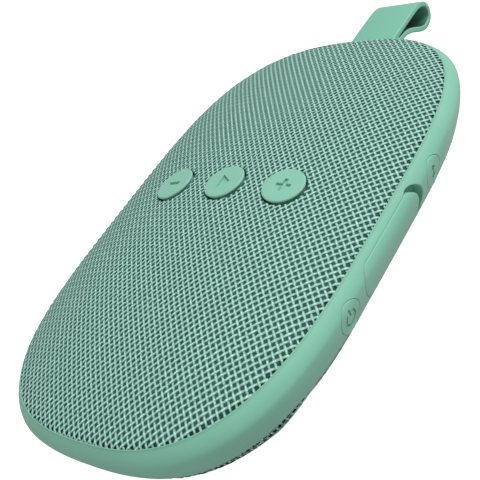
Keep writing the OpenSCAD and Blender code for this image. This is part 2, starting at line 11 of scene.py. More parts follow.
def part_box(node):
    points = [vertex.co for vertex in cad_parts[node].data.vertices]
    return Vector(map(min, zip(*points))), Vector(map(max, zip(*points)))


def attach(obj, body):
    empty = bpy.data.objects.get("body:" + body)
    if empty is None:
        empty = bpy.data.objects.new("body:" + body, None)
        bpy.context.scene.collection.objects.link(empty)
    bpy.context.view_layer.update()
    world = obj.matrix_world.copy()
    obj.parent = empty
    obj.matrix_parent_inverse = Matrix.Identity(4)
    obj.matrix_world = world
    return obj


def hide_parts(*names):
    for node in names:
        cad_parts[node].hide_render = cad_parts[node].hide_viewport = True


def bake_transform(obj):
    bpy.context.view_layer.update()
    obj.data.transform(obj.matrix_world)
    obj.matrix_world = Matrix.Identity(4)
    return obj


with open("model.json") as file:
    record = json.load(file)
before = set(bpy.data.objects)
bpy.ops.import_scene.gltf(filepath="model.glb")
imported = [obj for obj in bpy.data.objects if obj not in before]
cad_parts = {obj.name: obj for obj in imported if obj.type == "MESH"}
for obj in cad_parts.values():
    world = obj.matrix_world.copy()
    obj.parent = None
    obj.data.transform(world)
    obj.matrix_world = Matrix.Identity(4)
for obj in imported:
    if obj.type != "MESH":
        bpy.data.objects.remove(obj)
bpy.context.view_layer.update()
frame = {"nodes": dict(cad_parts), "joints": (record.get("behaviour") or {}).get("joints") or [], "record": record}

# Every shape below is worked out in millimetres, and heights named z are measured from the widest
# section of the body, as in the CAD model. add_mesh() turns them into metres above the floor.
MM = 0.001
JOINTS = {j["name"]: j for j in frame["joints"]}
RECORD_COLOURS = {m["slot"]: m["base_color"] for m in frame["record"]["materials"]}


def box_mm(node):
    low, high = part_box(node)
    return np.array(low) / MM, np.array(high) / MM


# ---------- sizes, read from the frame or shared with the CAD model ----------

# The strap's pin, and the height of the widest section above the floor.
HINGE_Y, HINGE_Z = 57.4, -2.3
MID_Z = JOINTS["strap_swing"]["pos_m"][2] / MM - HINGE_Z

# Half sizes of the two cloths and of the body, and the exponents of the outline.
FRONT_HX, FRONT_HY = box_mm("front_fabric")[1][:2]
REAR_HX, REAR_HY = box_mm("rear_fabric")[1][:2]
FRONT_INSET, REAR_INSET = 1.8, 2.2
HALF_W, HALF_LEN = FRONT_HX + FRONT_INSET, FRONT_HY + FRONT_INSET
SIDE_EXP, END_EXP = 2.62, 3.7

# The band: heights of the cloths' edges, curve of its section, inner wall, lips and inner shelf.
FRONT_BAND, REAR_BAND, CURVE_EXP = 3.0, 6.2, 1.65
BAND_INNER, LIP_TOP, BAND_LOW = 3.2, 3.12, -6.05
SHELF_TOP, SHELF_LOW = 2.1, -5.3

# The domes: how high they rise and the two exponents of their section.
FRONT_RISE, FRONT_M, FRONT_Q = 6.5, 2.25, 0.886
REAR_RISE, REAR_M, REAR_Q = 18.8, 3.2, 1.05

# Front buttons. COLUMNS are minus, play and plus, in steps of BUTTON_PITCH along X.
BUTTON_R, BUTTON_PITCH, BUTTON_Y, BUTTON_PROUD = 4.6, 15.0, 1.2, 0.8
COLUMNS = (-1, 0, 1)

# Side controls: buttons with the depth of their cap and the X that it doesn't go below, the port
# cover, its fold line, and the plug rim behind it with the walls along it and at its ends.
SIDE_Z, SIDE_BUTTON_R, CAP_DEPTH, CAP_FLOOR = -2.1, 3.2, 1.2, 35.42
POWER_Y = float(np.mean([c[1] for c in box_mm("power_button")]))
PAIRING_Y = float(np.mean([c[1] for c in box_mm("pairing_button")]))
SIGN_DEPTH = 0.32
COVER_LEN, COVER_H, COVER_Y, COVER_T = 23.6, 7.4, -1.8, 1.8
COVER_FOLD_Y = JOINTS["port_cover_fold"]["pos_m"][1] / MM
PLUG_Y, PLUG_LEN, PLUG_H, PLUG_WALL, PLUG_END = 0.3, 17, 4.6, 0.5, 2

PAD_HX, PAD_HY, PAD_T = 10.0, 18.0, 2.6

# The strap: its band, the end of its loop and where its two arms join.
STRAP_W, STRAP_T, TIP_Y, JOIN_Y = 12.8, 1.3, HALF_LEN + 22.6, 64.5
TOP_ARM_Z, LOW_ARM_Z, JOIN_GAP = -1.65, -2.95, 0.12


# ---------- surfaces ----------

def sgn_pow(v, p):
    return np.sign(v) * np.abs(v) ** p


def outline(hx, hy, turns):
    return np.stack(
        [hx * sgn_pow(np.cos(turns), 2 / SIDE_EXP), hy * sgn_pow(np.sin(turns), 2 / END_EXP)], -1
    )


def even_turns(count):
    """Turns round the outline that lie the same distance apart."""
    fine = np.linspace(0, 2 * math.pi, 40001)
    points = outline(HALF_W, HALF_LEN, fine)
    run = np.concatenate([[0], np.cumsum(np.linalg.norm(np.diff(points, axis=0), axis=1))])
    return np.interp(np.arange(count) / count * run[-1], run, fine)


def rho_of(x, y, hx, hy):
    """Place between the middle, 0, and the outline with those half sizes, 1."""
    x, y = np.abs(x) / hx + 1e-12, np.abs(y) / hy + 1e-12
    low, high = np.zeros_like(x), np.maximum(x, y) * 2 + 1e-9
    for _ in range(40):
        middle = (low + high) / 2
        outside = (x / middle) ** SIDE_EXP + (y / middle) ** END_EXP > 1
        low, high = np.where(outside, middle, low), np.where(outside, high, middle)
    return (low + high) / 2


def rim_distance(x, y, rho, hx, hy):
    """Distance in millimetres from the outline with those half sizes, measured across it."""
    x, y = np.abs(x) + 1e-9, np.abs(y) + 1e-9
    part_x = SIDE_EXP * (x / (rho * hx)) ** SIDE_EXP
    part_y = END_EXP * (y / (rho * hy)) ** END_EXP
    slope = rho * np.hypot(part_x / x, part_y / y) / (part_x + part_y)
    return (1 - rho) / slope


def band_inset(z):
    """How far the band's face lies inside the widest outline at that height."""
    above = FRONT_INSET * (np.maximum(z, 0) / FRONT_BAND) ** CURVE_EXP
    return above + REAR_INSET * (np.maximum(-z, 0) / REAR_BAND) ** CURVE_EXP


def skin_x(y, z):
    """Outer face of the band on the +X side."""
    inset = band_inset(z)
    return (HALF_W - inset) * (1 - (np.abs(y) / (HALF_LEN - inset)) ** END_EXP) ** (1 / SIDE_EXP)


def dome(rho, rise, m, q):
    """Height of a pillow shape, from rise in the middle to 0 at the outline."""
    return rise * np.maximum(1 - np.minimum(rho, 1) ** m, 0) ** q


def front_dome(rho):
    return FRONT_BAND + dome(rho, FRONT_RISE, FRONT_M, FRONT_Q)


def rear_dome(rho):
    return -REAR_BAND - dome(rho, REAR_RISE, REAR_M, REAR_Q)


def rear_sink(rim):
    """How far the rear cloth lies under its CAD surface, at that distance from its rim."""
    middle, edge, fade_from, fade = 0.35, 0.65, 16, 8
    return middle + edge * np.clip((fade_from - rim) / fade, 0, 1)


def end_bulge(rim, y):
    """How far the rear cloth comes back out near the two ends of the body."""
    near_end = np.clip((np.abs(y) - 27) / 12, 0, 1)
    return near_end * np.interp(rim, (0.2, 2, 7, 15), (0.6, 1.35, 1.35, 0))


def button_matrix(k):
    """Places a shape on a front button's axis, with the cloth surface at height 0."""
    x, step = k * BUTTON_PITCH, 0.1
    z, ahead, behind = (float(front_dome(abs(v) / FRONT_HX)) for v in (x, x + step, x - step))
    tilt = math.atan2(behind - ahead, 2 * step)
    return Matrix.Translation((x, BUTTON_Y, z)) @ Matrix.Rotation(tilt, 4, "Y")


# ---------- mesh tools ----------

def add_mesh(name, points, faces, matrix=None):
    """A smooth-shaded object from points in the millimetres of this script."""
    points = np.asarray(points, float)
    if matrix is not None:
        points = points @ np.array(matrix.to_3x3()).T + np.array(matrix.translation)
    points = (points + [0, 0, MID_Z]) * MM
    mesh = bpy.data.meshes.new(name)
    mesh.from_pydata(points.tolist(), [], [list(f) for f in faces])
    mesh.validate()
    piece = bpy.data.objects.new(name, mesh)
    bpy.context.scene.collection.objects.link(piece)
    smooth(piece)
    return piece


def smooth(piece, degrees=32):
    """Smooth shading, with edges sharper than that left sharp."""
    piece.data.shade_smooth()
    piece.data.set_sharp_from_angle(angle=math.radians(degrees))


def settle(piece):
    """Applies the modifiers on a piece."""
    bpy.context.view_layer.update()
    shown = piece.evaluated_get(bpy.context.evaluated_depsgraph_get())
    mesh = bpy.data.meshes.new_from_object(shown)
    piece.modifiers.clear()
    piece.data = mesh


def combine(piece, others, operation="DIFFERENCE"):
    """Cuts the others out of a piece, or joins them to it."""
    for other in others:
        step = piece.modifiers.new(operation, "BOOLEAN")
        step.operation = operation
        step.solver = "MANIFOLD"
        step.object = other
        settle(piece)
        bpy.data.objects.remove(other)
    smooth(piece)
    return piece


def ring_quads(rings, count, closed=False):
    """Faces between rings of count points each, and from the last ring to the first if closed."""
    pairs = [(k, (k + 1) % rings) for k in range(rings if closed else rings - 1)]
    return [
        (a * count + i, a * count + (i + 1) % count, b * count + (i + 1) % count, b * count + i)
        for a, b in pairs
        for i in range(count)
    ]


def lidded(rings):
    """Points and faces of a closed solid through rings that have as many points each."""
    count = len(rings[0])
    last = (len(rings) - 1) * count
    faces = ring_quads(len(rings), count)
    faces.append(tuple(range(count))[::-1])
    faces.append(tuple(range(last, last + count)))
    return np.concatenate(rings), faces


def face_out(piece):
    """Turns a closed piece's faces outwards."""
    work = bmesh.new()
    work.from_mesh(piece.data)
    bmesh.ops.recalc_face_normals(work, faces=work.faces)
    work.to_mesh(piece.data)
    work.free()
    smooth(piece)
    return piece


def solid(name, rings, matrix=None):
    """A closed piece through rings that have as many points each."""
    return face_out(add_mesh(name, *lidded(rings), matrix))


def level_ring(loop, z):
    """A loop of X and Y at one height."""
    return np.column_stack([loop, np.full(len(loop), z)])


def upright_ring(loop, x):
    """A loop of Y and Z at one X."""
    return np.column_stack([np.full(len(loop), x), loop])


# ---------- flat outlines, which the +X side uses in Y and Z ----------

def arc_points(cy, cz, r, turns):
    return [(cy + r * math.cos(a), cz + r * math.sin(a)) for a in turns]


def stadium(cy, cz, length, height, per_arc=24, per_side=40):
    """A bar with half-round ends."""
    r, reach = height / 2, (length - height) / 2
    right = arc_points(reach, 0, r, np.linspace(-math.pi / 2, math.pi / 2, per_arc))
    top = [(v, r) for v in np.linspace(reach, -reach, per_side)[1:-1]]
    half = right + top
    loop = half + [(-y, -z) for y, z in half]
    return np.array(loop) + [cy, cz]


def circle(cy, cz, r, count=72):
    turns = np.arange(count) / count * 2 * math.pi
    return np.stack([cy + r * np.cos(turns), cz + r * np.sin(turns)], -1)


def arc_stroke(cy, cz, r, width, first, last, count=28):
    """Outline of a round stroke from the first to the last angle, in degrees."""
    turns = np.radians(np.linspace(first, last, count))
    outer = arc_points(cy, cz, r + width / 2, turns)
    inner = arc_points(cy, cz, r - width / 2, turns[::-1])
    return np.array(outer + inner)


def bar_stroke(cy, cz, w, h):
    """A bar with rounded corners."""
    r = min(w, h) * 0.3
    y, z = w / 2 - r, h / 2 - r
    loop = []
    for corner_y, corner_z, first in ((y, z, 0), (-y, z, 90), (-y, -z, 180), (y, -z, 270)):
        turns = np.radians([first, first + 30, first + 60, first + 90])
        loop += arc_points(cy + corner_y, cz + corner_z, r, turns)
    return np.array(loop)


def skin_ring(shape, depth):
    """The shape on the band's face, that depth under it."""
    y, z = shape[:, 0], shape[:, 1]
    return np.stack([skin_x(y, z) - depth, y, z], -1)


def rounded_edge(r, grow=0.0, outward=1, steps=4):
    """(grow, depth) pairs round the edge of a cut, or of a filling if outward is -1."""
    angles = np.linspace(0, math.pi / 2, steps)
    return [(grow + outward * r * (1 - math.sin(a)), r * (1 - math.cos(a))) for a in angles]


def skin_cutter(name, make_shape, profile):
    """A solid to cut out of the band. Its profile is a list of (grow, depth) from the face inwards."""
    first, above = profile[0][0], 1.5
    rings = [skin_ring(make_shape(first), -above)]
    rings += [skin_ring(make_shape(grow), depth) for grow, depth in profile]
    return solid(name, rings)


def skin_filling(name, make_shape, edge, depth, floor=0.0):
    """A solid that lies flush in the band, with a face that follows it. Its X stays over the floor."""
    outer = make_shape(-edge)
    middle = outer.mean(0)
    shares = (0.02, 0.25, 0.5, 0.75, 0.93)
    rings = [skin_ring(middle + (outer - middle) * share, 0) for share in shares]
    rings += [skin_ring(make_shape(grow), d) for grow, d in rounded_edge(edge, 0, -1)]
    rings.append(skin_ring(make_shape(0), depth))
    rings[-1][:, 0] = np.maximum(rings[-1][:, 0], floor)
    return solid(name, rings)


def rod_x(name, x0, x1, cy, cz, r):
    loop = circle(cy, cz, r, 48)
    return solid(name, [upright_ring(loop, x) for x in (x0, x1)])


def cover_loop(grow):
    return stadium(COVER_Y, SIDE_Z, COVER_LEN + 2 * grow, COVER_H + 2 * grow)


def button_loop(y, grow):
    return circle(y, SIDE_Z, SIDE_BUTTON_R + grow)


def block(name, low, high):
    x0, y0, z0 = low
    x1, y1, z1 = high
    points = [(x, y, z) for x in (x0, x1) for y in (y0, y1) for z in (z0, z1)]
    faces = [(0, 1, 3, 2), (4, 6, 7, 5), (0, 4, 5, 1), (2, 3, 7, 6), (0, 2, 6, 4), (1, 5, 7, 3)]
    return face_out(add_mesh(name, points, faces))


# ---------- the band ----------

BAND_TURNS = even_turns(960)
GROOVE_EDGE = 0.12


def band_profile():
    """(inset, z) up the outside of the band, over its top lip and back down the inside."""
    heights = np.linspace(BAND_LOW + 0.12, LIP_TOP - 0.14, 30)
    outside = [(float(band_inset(z)), float(z)) for z in heights]
    top = [(1.80, -0.06), (1.84, 0), (1.90, 0.03), (1.98, 0), (2.06, -0.1)]
    inside = [(2.08, SHELF_TOP), (BAND_INNER, SHELF_TOP), (BAND_INNER, SHELF_LOW), (2.26, SHELF_LOW)]
    low = [(2.24, 0.1), (2.18, 0.02), (2.12, 0), (2.06, 0.04)]
    return [
        *outside,
        *((inset, LIP_TOP + z) for inset, z in top),
        *inside,
        *((inset, BAND_LOW + z) for inset, z in low),
    ]


def notch_loop(grow):
    """Round finger notch at the +Y end of the port cover."""
    return circle(COVER_Y + COVER_LEN / 2 - 1.95, SIDE_Z + 0.25, 3.8 + grow)


def band_cutters():
    """Solids that cut the opening, the notch, the bores and the strap's slot into the band."""
    opening = rounded_edge(GROOVE_EDGE, 0.07) + [(0.07, 6)]
    bowl = rounded_edge(0.16) + [(0, 1.9), (-0.08, 2.2), (-0.3, 2.4), (-0.65, 2.5), (-1.2, 2.52)]
    bore = rounded_edge(GROOVE_EDGE, 0.06) + [(0.06, 1.9)]
    yield skin_cutter("cut_cover", cover_loop, opening)
    yield skin_cutter("cut_notch", notch_loop, bowl)
    for y in (POWER_Y, PAIRING_Y):
        yield skin_cutter("cut_button", partial(button_loop, y), bore)
        yield rod_x("cut_stem", 30, 36, y, SIDE_Z, 1.9)
    yield block("cut_pocket", (-9.2, 54, HINGE_Z - 1.9), (9.2, 58.5, HINGE_Z + 1.9))
    yield strap_mouth()


def strap_mouth():
    """Rounded slot in the +Y end that flares outwards."""
    rings = []
    for y, flare in ((54, 0), (58.6, 0), (59.1, 0.12), (59.45, 0.4), (61, 1.2)):
        loop = bar_stroke(0, HINGE_Z, 13.6 + 2 * flare, 5.1 + 2 * flare)
        rings.append(np.insert(loop, 1, y, axis=1))
    return solid("cut_mouth", rings)


def make_band():
    rings = [
        level_ring(outline(HALF_W - inset, HALF_LEN - inset, BAND_TURNS), z) for inset, z in band_profile()
    ]
    faces = ring_quads(len(rings), len(BAND_TURNS), closed=True)
    piece = face_out(add_mesh("soft_edge_band", np.concatenate(rings), faces))
    return combine(piece, band_cutters())


# ---------- side controls ----------

def side_button(name, y, strokes):
    """Cap flush in the band, with the strokes sunk in its face and a stem to its switch."""
    piece = skin_filling(name, partial(button_loop, y), GROOVE_EDGE, CAP_DEPTH, CAP_FLOOR)
    combine(piece, [rod_x("stem", 31.9, 35.9, y, SIDE_Z, 1.5)], "UNION")
    return combine(piece, [
        solid("stroke", [skin_ring(stroke, -0.5), skin_ring(stroke, SIGN_DEPTH)]) for stroke in strokes
    ])


def make_power_button():
    arc = arc_stroke(POWER_Y, SIDE_Z - 0.1, 1.45, 0.42, 125, 415)
    return side_button("power_button_cap", POWER_Y, [arc, bar_stroke(POWER_Y, SIDE_Z + 1.15, 0.42, 1.6)])


def make_pairing_button():
    """Its sign is a plain arrow with two heads."""
    strokes = [bar_stroke(PAIRING_Y, SIDE_Z, 0.4, 2.7)]
    for up in (-1, 1):
        tip = SIDE_Z + up * 1.62
        base = tip - up * 0.95
        head = [(PAIRING_Y, tip), (PAIRING_Y - 0.85, base), (PAIRING_Y + 0.85, base)]
        strokes.append(np.array(head[::up]))
    return side_button("pairing_button_cap", PAIRING_Y, strokes)


def make_port_cover():
    """Skin, plug rim and anchor in one flexible piece."""
    piece = skin_filling("port_cover_skin", cover_loop, GROOVE_EDGE, COVER_T)
    rim = solid("rim", [
        upright_ring(stadium(PLUG_Y, SIDE_Z, PLUG_LEN + 2 * grow, PLUG_H + 2 * grow), x)
        for x, grow in ((34.6, 0.0), (33.6, 0.0), (33.3, -0.25))
    ])
    hollow = stadium(PLUG_Y, SIDE_Z, PLUG_LEN - 2 * PLUG_END, PLUG_H - 2 * PLUG_WALL)
    combine(rim, [solid("hollow", [upright_ring(hollow, x) for x in (35.0, 32.0)])])
    anchor = block("anchor", (33.2, -12.6, SIDE_Z - 2), (35.2, -10.4, SIDE_Z + 2))
    return combine(piece, [rim, anchor], "UNION")


# ---------- front buttons ----------

def sign_outlines():
    """Loops of each sign, in the plane of a button's face."""
    bar, thick = 3.5, 0.88
    play = np.array([(-1.05, -1.85), (1.5, -0.12), (1.5, 0.12), (-1.05, 1.85)])
    arm = bar_stroke(0, 0, bar, thick)
    return {"minus": [arm], "play": [play], "plus": [arm, bar_stroke(0, 0, thick, bar)]}


def sign_cutter(loop, matrix):
    """Recess with a slight slope to its walls."""
    steps = ((0.5, 1.0), (-0.04, 1.0), (-0.5, 0.96))
    return solid("sign", [level_ring(loop * share, BUTTON_PROUD + z) for z, share in steps], matrix)


def button_profile():
    """(radius, height) from the foot up over the flange and the neck to the face of the cap."""
    edge = 0.3
    foot = [(1.4, -4.1), (1.4, -3.7)]
    flange = [(5.4, -3.7), (5.4, -3.1), (BUTTON_R, -3.1)]
    neck = [(BUTTON_R - 0.4, -2.8), (BUTTON_R - 0.4, 0.05), (BUTTON_R - 0.03, 0.42)]
    rim = arc_points(BUTTON_R - edge, BUTTON_PROUD - edge, edge, np.linspace(0, math.pi / 2, 9))
    return foot + flange + neck + rim + [(3.4, BUTTON_PROUD)]


def front_button(name, k, loops):
    matrix = button_matrix(k)
    piece = solid(name, [level_ring(circle(0, 0, r, 120), z) for r, z in button_profile()], matrix)
    return combine(piece, [sign_cutter(loop, matrix) for loop in loops])


# ---------- woven cloth ----------

# The yarns run along the two lattice steps, half a step to each side of the holes.
STEP_A = np.array([0.72, -0.888])
STEP_B = np.array([0.72, 0.888])
WARP = {"width": 0.56, "height": 0.15, "lift": 0.09, "wave": 0.05, "phase": 0}
WEFT = {"width": 0.62, "height": 0.19, "lift": 0.115, "wave": 0.05, "phase": math.pi}

# Each yarn is a tube with SIDES sides. Its width is multiplied by WIDTH_LOW to WIDTH_HIGH, and its
# line wanders by the two jitters.
SIDES = 5
WIDTH_LOW, WIDTH_HIGH, SIDE_JITTER, UP_JITTER = 0.92, 1.08, 0.014, 0.008
DICE = np.random.default_rng(7)


def rim_inside(u, v):
    """Distance from the front cloth's rim."""
    return rim_distance(u, v, rho_of(u, v, FRONT_HX, FRONT_HY), FRONT_HX, FRONT_HY)


def from_button(u, v):
    """Distance from the axis of the nearest front button."""
    return np.min([np.hypot(u - k * BUTTON_PITCH, v - BUTTON_Y) for k in COLUMNS], axis=0)


class FrontPlan:
    """Maps the flat cloth onto the front dome. A plan also says how far out its yarns are tried,
    in lattice steps, and how many samples a yarn has for each step."""
    reach, samples = 62, 3

    def place(self, u, v):
        rho = rho_of(u, v, FRONT_HX, FRONT_HY)
        return np.stack([u, v, front_dome(rho)], -1)

    def margin(self, u, v):
        """Distance inside the cloth's edge, or the holes for the buttons."""
        return np.minimum(rim_inside(u, v) - 0.2, from_button(u, v) - BUTTON_R - 0.32)

    def drop(self, u, v):
        """How far the cloth dives at its rim and round the buttons."""
        at_rim = 0.45 * np.clip(1 - rim_inside(u, v) / 0.7, 0, 1) ** 2
        return at_rim + 0.06 * np.clip(1 - (from_button(u, v) - BUTTON_R) / 0.6, 0, 1) ** 2


class RearPlan:
    """Maps the flat cloth onto the deep rear dome, with lengths kept on each line from its middle."""
    reach, samples = 84, 2
    typical = 8

    def __init__(self):
        self.rho = np.linspace(0, 1, 2001)
        heights = rear_dome(self.rho)
        self.radii = np.linspace(REAR_HX, 64, 20)
        lengths = []
        for r in self.radii:
            steps = np.hypot(np.diff(self.rho) * r, np.diff(heights))
            lengths.append(np.concatenate([[0], np.cumsum(steps)]))
        self.totals = np.array([run[-1] for run in lengths])
        self.share = lengths[self.typical] / self.totals[self.typical]

    def plan(self, u, v):
        """X, Y and rho of a place on the flat cloth, and its distance from the rim."""
        run = np.hypot(u, v) + 1e-9
        rim = run / rho_of(u, v, REAR_HX, REAR_HY)
        total = np.interp(rim, self.radii, self.totals)
        rho = np.interp(run / total, self.share, self.rho)
        scale = rho * rim / run
        return u * scale, v * scale, rho, total - run

    def place(self, u, v):
        x, y, rho, _ = self.plan(u, v)
        return np.stack([x, y, rear_dome(rho)], -1)

    def margin(self, u, v):
        """Distance inside the cloth's edge, or the hole for the base pad."""
        x, y, _, rim = self.plan(u, v)
        pad = (rho_of(x, y, PAD_HX + 0.15, PAD_HY + 0.15) - 1) * PAD_HX
        return np.minimum(rim - 0.15, pad)

    def drop(self, u, v):
        """How far the cloth lies under the CAD surface."""
        _, y, _, rim = self.plan(u, v)
        return rear_sink(rim) - end_bulge(rim, y)


def margin_along(plan, along, across, line, places):
    """The plan's margin at places along one yarn."""
    uv = np.outer(np.atleast_1d(places), along) + line * across
    return plan.margin(uv[:, 0], uv[:, 1])


def edge_between(margin_at, inside, outside):
    """The place where the margin changes sign."""
    for _ in range(14):
        middle = (inside + outside) / 2
        if margin_at(middle)[0] > 0:
            inside = middle
        else:
            outside = middle
    return inside


def runs_inside(plan, along, across, line):
    """Stretches of one yarn that lie inside the cloth, as places along it."""
    shortest, closest = 0.6, 0.01
    margin_at = partial(margin_along, plan, along, across, line)
    places = 0.5 + np.arange(-plan.reach * plan.samples, plan.reach * plan.samples) / plan.samples
    kept = margin_at(places) > 0
    starts = np.flatnonzero(kept[1:] & ~kept[:-1]) + 1
    stops = np.flatnonzero(~kept[1:] & kept[:-1]) + 1
    for start, stop in zip(starts, stops):
        first = edge_between(margin_at, places[start], places[start - 1])
        last = edge_between(margin_at, places[stop - 1], places[stop])
        run = np.array([first, *places[start:stop], last])
        run = run[np.append(True, np.diff(run) > closest)]
        if run[-1] - run[0] > shortest:
            yield run


def normals_at(plan, uv):
    """Unit normals of the mapped cloth."""
    u, v, e = uv[:, 0], uv[:, 1], 0.02
    along_u = plan.place(u + e, v) - plan.place(u - e, v)
    along_v = plan.place(u, v + e) - plan.place(u, v - e)
    normal = np.cross(along_u, along_v)
    return normal / np.linalg.norm(normal, axis=1, keepdims=True)


def side_and_up(line, normal):
    """Unit vectors across a line, in the cloth and out of it, at each of its points."""
    ahead = np.gradient(line, axis=0)
    ahead /= np.linalg.norm(ahead, axis=1, keepdims=True)
    side = np.cross(ahead, normal)
    side /= np.linalg.norm(side, axis=1, keepdims=True)
    return side, np.cross(side, ahead)


def tube_faces(first, count):
    """Faces of a closed tube with count rings, whose points are numbered from first."""
    index = first + np.arange(count * SIDES).reshape(count, SIDES)
    following = np.roll(index, -1, axis=1)
    quads = np.stack([index[:-1], index[1:], following[1:], following[:-1]], -1).reshape(-1, 4)
    return [*quads.tolist(), index[0].tolist(), index[-1][::-1].tolist()]


def make_yarns(name, plan, along, across, outward, width, height, lift, wave, phase):
    """All yarns that run along one lattice step, as closed tubes that go over and under.
    Their attribute of painted light and shade is 1 on the lit top of the cloth and 0 underneath, for the material."""
    points, faces, crowns = [], [], []
    total = 0
    turns = np.radians(90 + 360 / SIDES * np.arange(SIDES))
    for k in range(-plan.reach, plan.reach):
        for run in runs_inside(plan, along, across, k + 0.5):
            uv = np.outer(run, along) + (k + 0.5) * across
            normal = normals_at(plan, uv) * outward
            swing = np.cos(math.pi * (run - 0.5 + k) + phase)
            height_at = lift + wave * swing - plan.drop(uv[:, 0], uv[:, 1])
            line = plan.place(uv[:, 0], uv[:, 1]) + normal * height_at[:, None]
            side, up = side_and_up(line, normal)
            broad = width / 2 * (0.9 + 0.1 * np.cos(2 * math.pi * (run - 0.5)))
            broad *= DICE.uniform(WIDTH_LOW, WIDTH_HIGH, len(run))
            line += side * DICE.normal(0, SIDE_JITTER, (len(run), 1))
            line += up * DICE.normal(0, UP_JITTER, (len(run), 1))
            rings = (
                line[:, None]
                + side[:, None] * broad[:, None, None] * np.cos(turns)[None, :, None]
                + up[:, None] * (height / 2 * np.sin(turns))[None, :, None]
            )
            points.append(rings.reshape(-1, 3))
            # painted light and shade: full on each tube's top and at the top of its wave, painted shade on its
            # underside and where it dips under
            crowns.append(np.outer(0.84 + 0.16 * swing, (np.sin(turns) + 1) / 2).ravel())
            faces += tube_faces(total, len(run))
            total += len(points[-1])
    piece = add_mesh(name, np.concatenate(points), faces)
    piece.data.shade_smooth()
    add_attribute(piece.data, "crown", np.concatenate(crowns))
    return piece


def add_attribute(mesh, name, values):
    """Gives each point of a mesh a number for its material to read."""
    attribute = mesh.attributes.new(name, "FLOAT", "POINT")
    attribute.data.foreach_set("value", values.astype(np.float32))


def make_scrim(name, hx, hy, height_of, depth_of, sign):
    """Thin backing cloth that closes the holes of the mesh from behind; its dark colour is partly its own and
    partly painted shade for the depth of the holes. depth_of gives its depth under the surface at a distance from
    the rim."""
    thickness = 0.12
    turns = even_turns(360)
    shares = np.sin(np.linspace(0.02, math.pi / 2, 60)) * 0.999
    heights = height_of(shares)
    slopes = np.gradient(heights, shares * hx)
    rings, under = [], []
    for share, z, slope in zip(shares, heights, slopes):
        depth = depth_of((1 - share) * hx)
        steep = math.hypot(1, slope)
        aside, down = depth * abs(slope) / steep, depth / steep
        rings.append(level_ring(outline(hx * share - aside, hy * share - aside, turns), z - sign * down))
        under.append(rings[-1] - [0, 0, sign * thickness])
    return solid(name, rings + under[::-1])


def front_scrim_depth(rim):
    return 0.55 * max(1 - rim / 0.8, 0) - 0.06


def rear_scrim_depth(rim):
    return rear_sink(rim) + 0.05


def make_front_scrim():
    piece = make_scrim("front_cloth_scrim", FRONT_HX, FRONT_HY, front_dome, front_scrim_depth, 1)
    loop = circle(0, 0, BUTTON_R + 0.06, 64)
    rings = [level_ring(loop, z) for z in (-3, 3)]
    return combine(piece, [solid("hole", rings, button_matrix(k)) for k in COLUMNS])


def make_rear_scrim():
    piece = make_scrim("rear_cloth_scrim", REAR_HX, REAR_HY, rear_dome, rear_scrim_depth, -1)
    loop = outline(PAD_HX + 0.12, PAD_HY + 0.12, even_turns(96))
    return combine(piece, [solid("hole", [level_ring(loop, z - MID_Z) for z in (-2, 6)])])


# ---------- base pad ----------

def make_base_pad():
    """Rubber pad with a rounded rim and shallow oval grooves in its underside."""
    turns = even_turns(200)
    profile = [(0.15, PAD_T), (0, PAD_T - 0.15), (0, 0.75), (0.08, 0.4), (0.3, 0.12), (0.65, 0)]
    for inset in (1.9, 3.6, 5.3, 7.0):
        profile += [(inset, 0), (inset + 0.12, 0.28), (inset + 0.42, 0.28), (inset + 0.54, 0)]
    profile.append((9.2, 0))
    rings = []
    for inset, height in profile:
        rings.append(level_ring(outline(PAD_HX - inset, PAD_HY - inset, turns), height - MID_Z))
    return solid("base_foot", rings)


# ---------- strap ----------

def bezier(points, count):
    """Points along a cubic curve, without its first."""
    p = [np.array(v, float) for v in points]
    t = np.linspace(0, 1, count + 1)[1:, None]
    return (1 - t) ** 3 * p[0] + 3 * (1 - t) ** 2 * t * p[1] + 3 * (1 - t) * t * t * p[2] + t ** 3 * p[3]


def strap_line():
    """Middle line in Y and Z: out along the top arm, round the fold and back."""
    arm, low, joined = TOP_ARM_Z, LOW_ARM_Z, LOW_ARM_Z - JOIN_GAP
    tip = TIP_Y - STRAP_T / 2
    out = [(JOIN_Y, arm), (70, arm), (74.5, arm - 0.05), (77, arm - 0.25)]
    over = [(77, arm - 0.25), (79.8, arm - 0.6), (tip + 0.05, arm - 1.9), (tip, arm - 3.6)]
    under = [(tip, arm - 3.6), (tip - 0.05, arm - 5.4), (80.2, arm - 6.3), (78, arm - 6.3)]
    back = [(78, arm - 6.3), (75, arm - 6.3), (72.2, low - 0.9), (67.6, low - 0.55)]
    closing = [(67.6, low - 0.55), (66.2, low - 0.44), (65.6, joined), (JOIN_Y, joined)]
    parts = [bezier(out, 16), bezier(over, 14), bezier(under, 14), bezier(back, 20), bezier(closing, 8)]
    return np.concatenate([[(JOIN_Y, arm)], *parts])


def beside(line, distance):
    """The line moved sideways by that distance."""
    ahead = np.gradient(line, axis=0)
    ahead /= np.linalg.norm(ahead, axis=1, keepdims=True)
    return line + distance * np.stack([-ahead[:, 1], ahead[:, 0]], -1)


def strap_outlines():
    """Loops in Y and Z: the strap's outside, the gap between its arms and the bore for its pin."""
    knuckle_r, bore_r = 1.7, 0.75
    line = strap_line()
    start = math.asin(STRAP_T / knuckle_r)
    end = arc_points(HINGE_Y, HINGE_Z, knuckle_r, np.linspace(2 * math.pi - start, start, 22))
    top = [(y, HINGE_Z + STRAP_T) for y in np.arange(59, JOIN_Y - 0.1, 0.5)]
    bottom = []
    for y in np.arange(JOIN_Y - 0.5, 58.9, -0.5):
        bottom.append((y, HINGE_Z - STRAP_T - JOIN_GAP * min((y - 59) / 3, 1)))
    outer = np.array([*end, *top, *beside(line, STRAP_T / 2), *bottom])
    inner = beside(line, -STRAP_T / 2)
    inner = inner[inner[:, 0] > JOIN_Y + 0.5]
    return [outer, inner, circle(HINGE_Y, HINGE_Z, bore_r, 24)]


